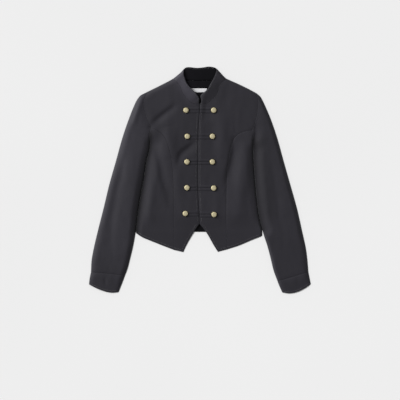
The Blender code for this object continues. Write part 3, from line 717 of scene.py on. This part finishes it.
label_tape, sewing_thread, antique_brass = label_finish(), thread_finish(), brass_finish()
print("finishes:", len(bpy.data.materials))

# %% [markdown]
# ## Panels of cloth
#
# Each panel is laid out from its own curves, gets the cloth, and takes the place of the plain solid in the frame. It
# rides on the jacket's one body. As each is a sheet of cloth, its plan area is stored on it too.

# %% Lay the panels
SEAM = 0.15
CREASE = 0.15
TUCK = 4.2
pieces = {}


def dress(piece, node, material):
    """Give a piece its material and body, hide the plain solid it stands for, and keep it with the other pieces."""
    piece.data.materials.append(material)
    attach(piece, "root")
    if node:
        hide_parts(node)
    pieces[piece.name] = piece
    return piece


def upper_panel(node, sides, material, sleeve=False, bottom=upper_bottom):
    """A panel of the upper layer."""
    outline = draw_in(*closed_outline(sides))
    piece = shell(f"{node}_cloth", outline, lambda coords: cloth_top(coords, sleeve), bottom)
    return dress(piece, node, material)


def lower_panel(node, sides, material, inner_material=None):
    """A flat panel that rests on the surface. Its upper face is the inside of the jacket."""
    outline = draw_in(*closed_outline(sides))
    piece = shell(
        f"{node}_cloth", outline, lambda coords: WALL - 0.25 + 0.3 * ripples(coords).clip(-0.8, 0.8),
        lambda coords, upper, depth: np.full(len(coords), 0.05), step=9.0, rings=(0.5, 1.3, 4.0), rounding=0.6,
    )
    dress(piece, node, material)
    if inner_material:
        piece.data.materials.append(inner_material)
        for face in piece.data.polygons:
            face.material_index = 1 if face.normal.z > 0.5 else 0
    return piece


for side in SIDES:
    upper_panel(f"front_centre_{side}", [
        edge(f"neck_seam_{side}", SEAM), edge(f"shoulder_{side}", 0), edge(f"armhole_{side}", SEAM),
        edge(f"princess_{side}", SEAM), edge(f"hem_point_{side}", 0), edge(f"cutaway_{side}", SEAM),
        edge("centre_front", 0.5, back=True),
    ], body_cloth)
    upper_panel(f"front_side_{side}", [
        edge(f"underarm_{side}", SEAM), edge(f"crease_{side}", CREASE), edge(f"side_tail_{side}", CREASE),
        edge(f"hem_{side}", 0), edge(f"princess_{side}", SEAM, back=True),
    ], body_cloth)
    upper_panel(f"sleeve_upper_{side}", [
        edge(f"sleeve_outer_{side}", 0), edge(f"cuff_seam_{side}", SEAM),
        edge(f"sleeve_inner_{side}", CREASE, back=True), edge(f"crease_{side}", CREASE, back=True),
        edge(f"underarm_{side}", SEAM, back=True), edge(f"armhole_{side}", SEAM, back=True),
    ], sleeve_cloth_painted_lit_and_shaded[side], sleeve=True)
    lower_panel(f"sleeve_under_{side}", [
        edge(f"sleeve_outer_{side}", TUCK), edge(f"cuff_seam_{side}", SEAM),
        edge(f"sleeve_inner_{side}", TUCK, back=True), edge(f"crease_{side}", TUCK, back=True),
        edge(f"underarm_{side}", SEAM, back=True), edge(f"armhole_{side}", SEAM, back=True),
    ], sleeve_cloth_painted_lit_and_shaded[side])
    upper_panel(f"cuff_upper_{side}", [
        edge(f"cuff_outer_{side}", 0), edge(f"cuff_hem_{side}", 0),
        edge(f"cuff_inner_{side}", 0, back=True), edge(f"cuff_seam_{side}", SEAM, back=True),
    ], sleeve_cloth_painted_lit_and_shaded[side], sleeve=True)
    lower_panel(f"cuff_under_{side}", [
        edge(f"cuff_outer_{side}", TUCK), edge(f"cuff_hem_{side}", 0),
        edge(f"cuff_inner_{side}", TUCK, back=True), edge(f"cuff_seam_{side}", SEAM, back=True),
    ], sleeve_cloth_painted_lit_and_shaded[side])
    upper_panel(f"collar_front_{side}", [
        edge(f"neck_seam_{side}", SEAM), edge(f"collar_fold_{side}", 0), edge(f"collar_edge_{side}", 0.3),
    ], body_cloth, bottom=neck_bottom)

lower_panel("back", [
    edge("shoulder_left", TUCK), edge("armhole_left", SEAM), edge("underarm_left", SEAM), edge("crease_left", TUCK),
    edge("back_hem", 0), edge("crease_right", TUCK, back=True), edge("underarm_right", SEAM, back=True),
    edge("armhole_right", SEAM, back=True), edge("shoulder_right", TUCK, back=True),
    edge("back_neck", SEAM, back=True),
], body_cloth, black_lining_painted_darker)
COLLAR_TUCK = 1.4
lower_panel("collar_back", [
    edge("back_neck", SEAM), edge("collar_fold_right", COLLAR_TUCK), edge("collar_back_top", 0, back=True),
    edge("collar_fold_left", COLLAR_TUCK, back=True),
], body_cloth, black_lining_painted_darker)
print("panels:", len(pieces))

# %% [markdown]
# ## Facing and label inside the neck
#
# Inside the back neck lies a dark facing strip, and below it a bare label. They are thin cloth as well, so the
# same shell serves, with heights that follow the back.

# %% Neck pieces
FACING_OUTLINE = [
    (-56, 311), (-28, 308), (0, 307), (30, 308), (58, 311), (55, 290), (30, 287), (0, 287), (-28, 287), (-53, 290),
]
LABEL_OUTLINE = [(-27, 285), (22, 285), (18, 273), (-27, 273)]
ON_BACK = 2.5


def small_panel(node, outline, thickness, material, wave=0.0, step=2.5):
    """A thin flat piece that lies on the back, with straight sides."""
    corners = np.array(outline, float)
    sides = [(smooth_curve([a, b], step), 0) for a, b in zip(corners, np.roll(corners, -1, axis=0))]
    ring = draw_in(*closed_outline(sides))

    def top(coords):
        return ON_BACK + thickness + wave * np.sin(coords[:, 0] / 9)

    piece = shell(
        f"{node}_cloth", ring, top, lambda coords, upper, depth: np.maximum(upper - thickness, ON_BACK - 0.1),
        step=step, rings=(0.5, 1.3), rounding=0.4,
    )
    return dress(piece, node, material)


small_panel("back_neck_facing", FACING_OUTLINE, 1.1, black_lining_painted_darker)
small_panel("neck_label", LABEL_OUTLINE, 0.8, label_tape, wave=0.15, step=1.8)

# %% [markdown]
# ## Button loops
#
# Each button sits in a loop of narrow piping that runs out from the front edge and back again. Piping is
# round, so the shell's top is a dome across its width, and it rides on the cloth below.

# %% Loops
BUTTON_ROWS = [
    (-44, 217, 42, 217),
    (-40, 136, 38, 136),
    (-41, 57, 38, 57),
    (-41, -23, 42, -24),
    (-46, -103, 43, -106),
]
FRONT_EDGE = smooth_curve(CURVES["centre_front"], FORM_STEP)[::-1]
LOOP_HALF_HEIGHT = 8.7
LOOP_SLIT = 0.6
LOOP_EYE = 3.0
LOOP_RISE = 0.75


def loop_outline(button_x, button_y, sense):
    """Plan of a loop: two legs from the front edge and a round end with an eye for the button's shank."""
    start = np.interp(button_y, FRONT_EDGE[:, 1], FRONT_EDGE[:, 0]) + sense * 0.8
    turn = np.radians(np.linspace(-90, 90, 17))
    bend = np.linspace(math.pi - 0.2, -math.pi + 0.2, 17)
    outer = [(button_x + sense * LOOP_HALF_HEIGHT * math.cos(a), button_y + LOOP_HALF_HEIGHT * math.sin(a)) for a in turn]
    eye = [(button_x + sense * LOOP_EYE * math.cos(a), button_y + LOOP_EYE * math.sin(a)) for a in bend]
    legs = [
        [(start, button_y - LOOP_HALF_HEIGHT), outer[0]],
        [outer[-1], (start, button_y + LOOP_HALF_HEIGHT)],
        [(start, button_y + LOOP_HALF_HEIGHT), (start, button_y + LOOP_SLIT)],
        [(start, button_y + LOOP_SLIT), eye[0]],
        [eye[-1], (start, button_y - LOOP_SLIT)],
        [(start, button_y - LOOP_SLIT), (start, button_y - LOOP_HALF_HEIGHT)],
    ]
    runs = [smooth_curve(leg, 1.6) for leg in legs]
    order = [runs[0], np.array(outer), runs[1], runs[2], runs[3], np.array(eye), runs[4], runs[5]]
    return [(run, 0) for run in order]


def make_loop(side, number, button_x, button_y, sense):
    """One piped loop on the front."""
    ring, _ = closed_outline(loop_outline(button_x, button_y, sense))
    closed = np.vstack([ring, ring[:1]])
    half = (LOOP_HALF_HEIGHT - LOOP_SLIT) / 2

    def top(coords):
        gap = gap_to(coords, closed, 1e3)[0]
        return cloth_top(coords) + 0.35 + LOOP_RISE * quarter_round(gap, half)

    def bottom(coords, upper, depth):
        return cloth_top(coords) + 0.1

    piece = shell(f"loop_{side}_{number}_piping", ring, top, bottom, step=1.6, rings=(0.5, 1.3), rounding=0.0)
    return dress(piece, f"loop_{side}_{number}", body_cloth)


for number, (left_x, left_y, right_x, right_y) in enumerate(BUTTON_ROWS, start=1):
    make_loop("left", number, left_x, left_y, -1)
    make_loop("right", number, right_x, right_y, 1)
print("loops:", 2 * len(BUTTON_ROWS))

# %% [markdown]
# ## Buttons
#
# The buttons are stamped brass domes with a rim and a ring of small beads. One is modelled from a cylinder:
# its face is inset and pushed down and up into rings, then raised into a dome. The dome gets a plain fluted
# rosette, and the copies are set on the ten loops.

# %% One button
BUTTON_RADIUS = 9.3 * MM
BUTTON_HEIGHT = 4.0 * MM
BEADS = 30
FLUTES = 8


def top_face_selected(mesh_object):
    """Select only the highest face that looks up."""
    bpy.ops.mesh.select_all(action="DESELECT")
    bpy.ops.object.mode_set(mode="OBJECT")
    up = [p for p in mesh_object.data.polygons if p.normal.z > 0.9]
    max(up, key=lambda p: (len(p.vertices), p.center.z)).select = True
    bpy.ops.object.mode_set(mode="EDIT")


def ring_step(button, thickness, rise):
    """Inset the top face and lift or sink it."""
    top_face_selected(button)
    bpy.ops.mesh.inset(thickness=thickness)
    bpy.ops.transform.translate(value=(0, 0, rise))


def model_button():
    """The master button, standing on the origin."""
    nothing_selected()
    bpy.ops.mesh.primitive_cylinder_add(
        vertices=48, radius=BUTTON_RADIUS, depth=0.4 * BUTTON_HEIGHT, location=(0, 0, 0.2 * BUTTON_HEIGHT),
    )
    button = bpy.context.active_object
    bpy.ops.object.transform_apply(location=True)
    bpy.ops.object.mode_set(mode="EDIT")
    bpy.ops.mesh.select_mode(type="FACE")
    for thickness, rise in (
        (0.35, 0.25), (0.35, 0.05), (0.25, -0.4), (1.0, 0.0), (0.25, 0.45), (0.5, 0.3),
        (0.9, 0.16), (1.1, 0.12), (1.3, 0.08), (1.3, 0.04), (1.0, -0.1),
    ):
        ring_step(button, thickness * MM, rise * MM)
    top_face_selected(button)
    bpy.ops.mesh.poke()
    bpy.ops.object.mode_set(mode="OBJECT")
    beads = []
    for k in range(BEADS):
        angle = math.tau * k / BEADS
        ring = 7.7 * MM
        nothing_selected()
        bpy.ops.mesh.primitive_uv_sphere_add(
            segments=8, ring_count=6, radius=0.62 * MM,
            location=(ring * math.cos(angle), ring * math.sin(angle), 0.4 * BUTTON_HEIGHT - 0.05 * MM),
        )
        beads.append(bpy.context.active_object)
    nothing_selected()
    bpy.ops.mesh.primitive_cylinder_add(vertices=16, radius=2 * MM, depth=2.2 * MM, location=(0, 0, -1.05 * MM))
    beads.append(bpy.context.active_object)
    for part in [button, *beads]:
        part.select_set(True)
    bpy.context.view_layer.objects.active = button
    bpy.ops.object.join()
    mesh = button.data
    wear = mesh.color_attributes.new("wear", "FLOAT_COLOR", "POINT")
    for vertex in mesh.vertices:
        x, y, z = vertex.co
        reach = math.hypot(x, y) / BUTTON_RADIUS
        flute = 0.5 + 0.5 * math.cos(FLUTES * math.atan2(y, x))
        on_dome = reach < 0.62 and z > 0
        if on_dome:
            vertex.co.z += 0.12 * MM * (flute - 0.5) * math.sin(math.pi * reach / 0.62)
        # The face, inside 87% of the radius, is marked pale; the rim, the beads and the shank are left dark brown.
        high = 0.75 + 0.25 * flute if reach < 0.87 and z > 0 else 0.0
        wear.data[vertex.index].color = (high, high, high, 1)
    nothing_selected()
    button.select_set(True)
    bpy.ops.object.shade_smooth_by_angle(angle=math.radians(50))
    return button


master = model_button()
print("button size in mm:", [round(v / MM, 2) for v in master.dimensions])

# %% Set the buttons on their loops


def set_button(side, number, x, y):
    """A copy of the master button, set on the cloth at its place and turned about its axis."""
    mesh = master.data.copy()
    seat = cloth_top(np.array([(x, y)], float))[0] + 0.35 + LOOP_RISE
    turn = 0.7 * number + (0.4 if side == "left" else 0.0)
    cosine, sine = math.cos(turn), math.sin(turn)
    for vertex in mesh.vertices:
        px, py, pz = vertex.co
        vertex.co = (x * MM + px * cosine - py * sine, y * MM + px * sine + py * cosine, (seat - 0.1) * MM + pz)
    button = bpy.data.objects.new(f"button_{side}_{number}_brass", mesh)
    bpy.context.scene.collection.objects.link(button)
    return dress(button, f"button_{side}_{number}", antique_brass)


for number, (left_x, left_y, right_x, right_y) in enumerate(BUTTON_ROWS, start=1):
    set_button("left", number, left_x, left_y)
    set_button("right", number, right_x, right_y)
bpy.data.objects.remove(master)

# %% [markdown]
# ## Topstitching
#
# Rows of small stitches run beside the front edges, hem, cuffs and collar. A stitch is a short thread that
# rises out of the cloth and dives back, so each one is a bent six-sided tube of a few faces, and a row is one
# mesh.

# %% Rows of stitches
STITCH_LENGTH = 3.0
STITCH_SPACING = 3.7
THREAD_RADIUS = 0.28
STITCH_ARC = [(-0.5, -0.30), (-0.38, 0.12), (0.0, 0.26), (0.38, 0.12), (0.5, -0.30)]


def offset_path(name, inset, start=0.0, end=0.0, flip=1):
    """A curve moved to one side by an inset, with its ends left off."""
    path = smooth_curve(CURVES[name], 1.0)
    run = np.gradient(path, axis=0)
    normals = np.column_stack([-run[:, 1], run[:, 0]]) / np.linalg.norm(run, axis=1, keepdims=True)
    moved = path + flip * inset * normals
    return moved[int(start):len(moved) - int(end)]


def stitch_row(name, paths, height):
    """One mesh of stitches along several paths on a surface of a given height."""
    verts, faces = [], []
    for path in paths:
        at = np.concatenate([[0], np.cumsum(np.linalg.norm(np.diff(path, axis=0), axis=1))])
        centres = np.arange(STITCH_SPACING / 2, at[-1] - STITCH_SPACING / 2, STITCH_SPACING)
        if not len(centres):
            continue
        spots = np.array([[np.interp(c + s, at, path[:, k]) for k in range(2)] for c in centres for s in (-0.5, 0.5)])
        level = height(spots)
        for k in range(len(centres)):
            (x0, y0), (x1, y1) = spots[2 * k], spots[2 * k + 1]
            z = (level[2 * k] + level[2 * k + 1]) / 2
            along = np.array([x1 - x0, y1 - y0, level[2 * k + 1] - level[2 * k]])
            along /= np.linalg.norm(along)
            across = np.array([-along[1], along[0], 0.0])
            middle = np.array([(x0 + x1) / 2, (y0 + y1) / 2, z])
            first = len(verts)
            for share, lift in STITCH_ARC:
                centre = middle + along * share * STITCH_LENGTH + np.array([0, 0, lift])
                for corner in range(6):
                    angle = math.tau * corner / 6
                    spoke = across * math.cos(angle) + np.array([0, 0, math.sin(angle)])
                    verts.append(tuple((centre + THREAD_RADIUS * spoke) * MM))
            for ring in range(len(STITCH_ARC) - 1):
                for corner in range(6):
                    a, b = first + 6 * ring + corner, first + 6 * ring + (corner + 1) % 6
                    faces.append((a, a + 6, b + 6, b))
            last = first + 6 * (len(STITCH_ARC) - 1)
            faces.append(tuple(range(first, first + 6)))
            faces.append(tuple(range(last + 5, last - 1, -1)))
    mesh = bpy.data.meshes.new(name)
    mesh.from_pydata(verts, [], faces)
    mesh.shade_smooth()
    row = bpy.data.objects.new(name, mesh)
    bpy.context.scene.collection.objects.link(row)
    return dress(row, None, sewing_thread)


EDGE_STITCH = 6.4
CUFF_STITCH = 5.6
for side in SIDES:
    turn = 1 if side == "left" else -1
    stitch_row(f"front_stitching_{side}", [
        offset_path("centre_front", EDGE_STITCH, 8, 4, -turn),
        offset_path(f"cutaway_{side}", EDGE_STITCH, 7, 4, turn),
        offset_path(f"hem_point_{side}", EDGE_STITCH, 0, 7, turn),
    ], cloth_top)
    stitch_row(f"hem_stitching_{side}", [offset_path(f"hem_{side}", EDGE_STITCH, 8, 1, turn)], cloth_top)
    stitch_row(
        f"cuff_stitching_{side}",
        [offset_path(f"cuff_hem_{side}", CUFF_STITCH, 5, 5, turn)],
        lambda spots: cloth_top(spots, sleeve=True),
    )
    stitch_row(f"collar_stitching_{side}", [offset_path(f"collar_edge_{side}", 4.0, 6, 8, -turn)], cloth_top)
stitch_row(
    "collar_back_stitching", [offset_path("collar_back_top", 3.8, 5, 5, -1)],
    lambda spots: np.full(len(spots), WALL),
)
print("stitched rows:", len([name for name in pieces if "stitching" in name]))

# %% [markdown]
# ## The sheets
#
# Each panel is a sheet of cloth laid on the surface or on the layer below it. Its shell stores the area of its
# pattern piece; the loop below goes through the panels and sets nothing.

# %% Go through the sheets
for name, piece in list(pieces.items()):
    if not name.endswith("_cloth"):
        continue
    node = name.removesuffix("_cloth")
    side = node.split("_")[-1]

# %% [markdown]
# ## Floor, light and camera
#
# The jacket lies on a pale, even surface. One large soft light stands up to the left of it and a pale sky
# fills the shadows, so folds turn softly and edges that face the light catch a thin line. The camera looks
# straight down from far away, as for a catalogue picture.

# %% Floor
nothing_selected()
bpy.ops.mesh.primitive_plane_add(size=9.0, location=(0, 0, -0.0002))
floor = bpy.context.active_object
floor.name = "floor"
bpy.ops.object.transform_apply(location=True)
floor_finish = Finish("pale surface", Roughness=0.9, Specular_IOR_Level=0.1)
floor_cloud = floor_finish.node("TexNoise", {}, {"Vector": floor_finish.place(), "Scale": 1.2, "Detail": 1.0})
floor_finish.base(floor_finish.colours(floor_cloud, (0.80, 0.80, 0.80, 1), (0.83, 0.83, 0.83, 1)))
floor.data.materials.append(floor_finish.material)

# %% Light
SKY_STRENGTH = 0.34


def sun_lamp(name, toward, power, spread, lit):
    """A soft lamp far away, in a direction seen from the jacket, that lights only some objects."""
    data = bpy.data.lights.new(name, "SUN")
    data.energy = power
    data.angle = math.radians(spread)
    lamp = bpy.data.objects.new(name, data)
    lamp.rotation_euler = (-Vector(toward)).to_track_quat("-Z", "Y").to_euler()
    bpy.context.scene.collection.objects.link(lamp)
    group = bpy.data.collections.new(f"{name} lights")
    for thing in lit:
        group.objects.link(thing)
    lamp.light_linking.receiver_collection = group


sun_lamp("window light", (-0.86, 0.40, 0.42), 5.2, 34, pieces.values())
sun_lamp("bounce card", (0.95, -0.05, 0.22), 0.3, 50, pieces.values())
sun_lamp("floor light", (-0.50, 0.42, 1.0), 2.66, 18, [floor])
world = bpy.data.worlds.new("studio")
world.use_nodes = True
world.node_tree.nodes["Background"].inputs["Color"].default_value = (1, 1, 1, 1)
world.node_tree.nodes["Background"].inputs["Strength"].default_value = SKY_STRENGTH
bpy.context.scene.world = world
bpy.context.scene.view_settings.view_transform = "Standard"

# %% Camera
VIEW_WIDTH = 1.24
VIEW_CENTRE = Vector((-0.0003, -0.0612, 0.006))
LENS = 85.0
SENSOR = 36.0
camera_data = bpy.data.cameras.new("camera")
camera_data.lens = LENS
camera_data.sensor_width = SENSOR
camera_data.clip_end = 50
camera = bpy.data.objects.new("camera", camera_data)
camera.location = VIEW_CENTRE + Vector((0, 0, VIEW_WIDTH * LENS / SENSOR))
bpy.context.scene.collection.objects.link(camera)
bpy.context.scene.camera = camera

# %% Triangles added
print("triangles added:", sum(len(p.data.loop_triangles) or len(p.data.polygons) for p in pieces.values()))
